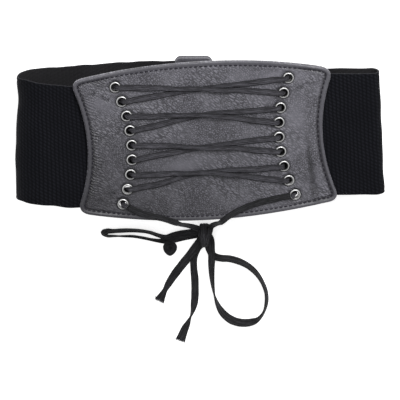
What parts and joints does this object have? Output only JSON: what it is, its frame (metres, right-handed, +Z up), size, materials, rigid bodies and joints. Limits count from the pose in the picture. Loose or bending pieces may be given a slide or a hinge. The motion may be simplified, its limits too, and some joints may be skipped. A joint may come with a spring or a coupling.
{
  "type": "lace-up waist belt",
  "caption": "Wide elastic waist belt with a raised-rim hourglass leather front panel, metal eyelets, crossed flat lace tied in a bow, and a back closure tab.",
  "frame": {"origin": "middle of the outer closure tab's resting face, on the surface the belt lies on", "axes": "+X along the belt, towards the right fold; +Y towards the belt's top edge; +Z up from the surface, out of the front panel"},
  "size_m": [0.2898, 0.2424, 0.045],
  "materials": {
    "leather": "satin grained grey faux leather",
    "elastic": "matte black ribbed elastic",
    "lace": "matte black woven tape",
    "eyelet_metal": "polished nickel",
    "clasp": "matte"
  },
  "bodies": {
    "root": {"front_panel": "leather", "eyelet_left_1": "eyelet_metal", "eyelet_left_2": "eyelet_metal", "eyelet_left_3": "eyelet_metal", "eyelet_left_4": "eyelet_metal", "eyelet_left_5": "eyelet_metal", "eyelet_left_6": "eyelet_metal", "eyelet_left_7": "eyelet_metal", "eyelet_left_8": "eyelet_metal", "eyelet_left_9": "eyelet_metal", "eyelet_right_1": "eyelet_metal", "eyelet_right_2": "eyelet_metal", "eyelet_right_3": "eyelet_metal", "eyelet_right_4": "eyelet_metal", "eyelet_right_5": "eyelet_metal", "eyelet_right_6": "eyelet_metal", "eyelet_right_7": "eyelet_metal", "eyelet_right_8": "eyelet_metal", "eyelet_right_9": "eyelet_metal", "elastic_left": "elastic", "elastic_right": "elastic", "closure_tab_outer": "leather", "closure_tab_inner": "leather", "closure_clasp": "clasp", "lace": "lace", "lace_end_left": "lace", "lace_end_right": "lace", "bow_loop_left": "lace", "bow_loop_right": "lace", "bow_tail_left": "lace", "bow_tail_right": "lace", "bow_knot": "lace", "bow_curl": "lace"}
  },
  "joints": []
}
